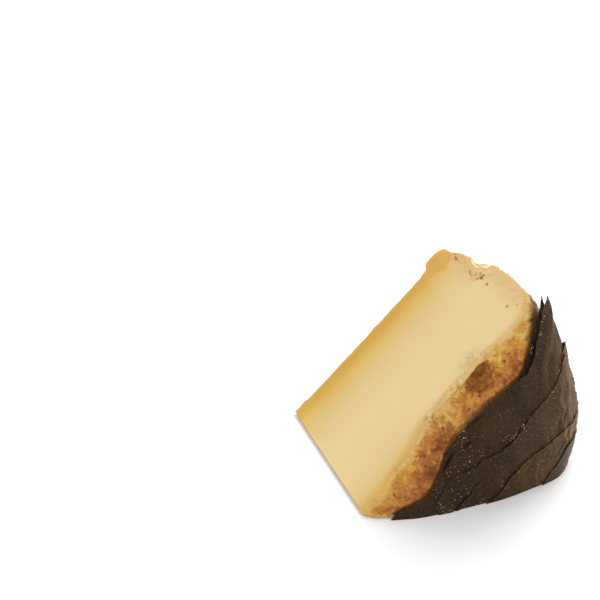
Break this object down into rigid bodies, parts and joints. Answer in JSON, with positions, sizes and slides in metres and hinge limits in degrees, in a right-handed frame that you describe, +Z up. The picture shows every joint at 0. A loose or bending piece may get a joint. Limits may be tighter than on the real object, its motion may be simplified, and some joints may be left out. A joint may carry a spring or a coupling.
{
  "type": "pecorino wedge",
  "caption": "Wedge of semi-hard pecorino lying on its knife cut, the wheel's face wrapped in dried walnut leaves and its rind bare beside the cut.",
  "frame": {"origin": "on the surface that the wedge lies on, under the middle of its bounding box", "axes": "+X from the wedge's thin edge out to the side of the wheel, +Y from the leafy face of the wheel to its bare face, +Z up; the lower knife cut is in the plane Z = 0 and the upper one climbs from the thin edge at 44.4 degrees"},
  "size_m": [0.0872, 0.0778, 0.0665],
  "materials": {
    "cheese": "semi-hard sheep's milk cheese: waxy cream paste, golden under the rind, with an orange-brown natural rind",
    "walnut_leaf": "dried dark brown walnut leaf, veined, with a slight gloss from the cheese's fat"
  },
  "bodies": {
    "root": {"cheese": "cheese", "leaf_inner": "walnut_leaf", "leaf_upper": "walnut_leaf", "leaf_second": "walnut_leaf", "leaf_third": "walnut_leaf", "leaf_lowest": "walnut_leaf"}
  },
  "joints": []
}
